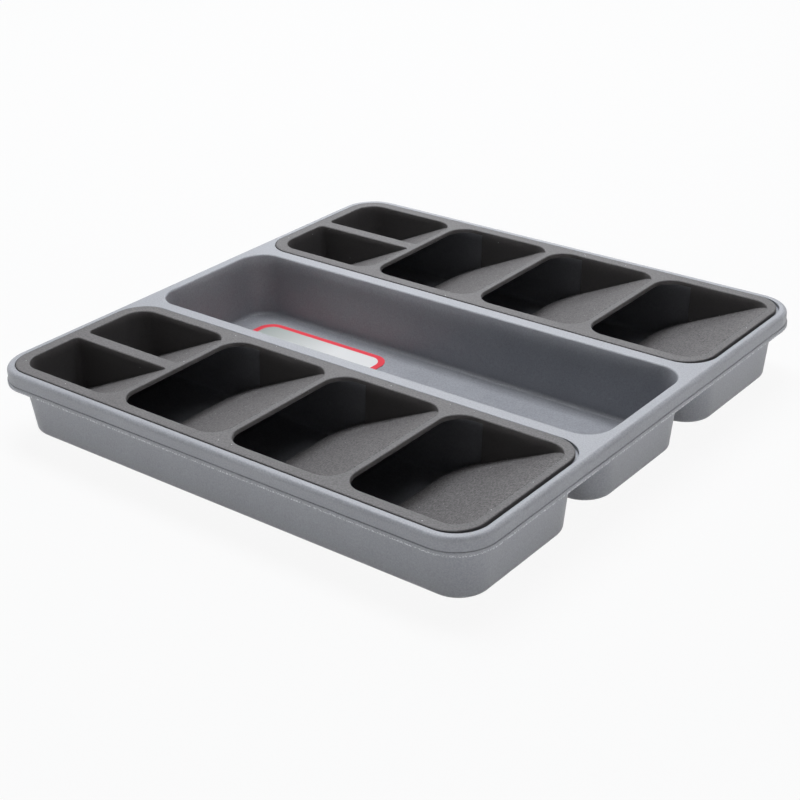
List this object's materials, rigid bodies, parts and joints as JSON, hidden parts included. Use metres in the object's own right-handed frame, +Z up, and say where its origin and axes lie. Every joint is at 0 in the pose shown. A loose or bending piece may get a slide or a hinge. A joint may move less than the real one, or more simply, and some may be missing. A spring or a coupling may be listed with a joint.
{
  "type": "cutlery tray",
  "caption": "Shallow square moulded drawer tray with an open middle trough and, on either side of it, a lift-out insert with sloping overlapping cutlery pockets.",
  "frame": {"origin": "middle of the tray's footprint, at the level that it stands on", "axes": "+X along the troughs, +Y across them from front to rear, +Z up"},
  "size_m": [0.401, 0.4038, 0.051],
  "materials": {
    "tray_plastic": "fine-textured satin, blue-grey",
    "insert_plastic": "fine-textured satin, charcoal",
    "card_sheet": "smooth coated card, blank field with a red border"
  },
  "bodies": {
    "tray": {"tray": "tray_plastic", "card": "card_sheet"},
    "front_insert": {"front_insert": "insert_plastic"},
    "rear_insert": {"rear_insert": "insert_plastic"}
  },
  "joints": [
    {"name": "front_insert_lift", "type": "slide", "parent": "tray", "child": "front_insert", "axis": [0, 0, 1], "range_m": [0, 0.06]},
    {"name": "rear_insert_lift", "type": "slide", "parent": "tray", "child": "rear_insert", "axis": [0, 0, 1], "range_m": [0, 0.06]}
  ]
}
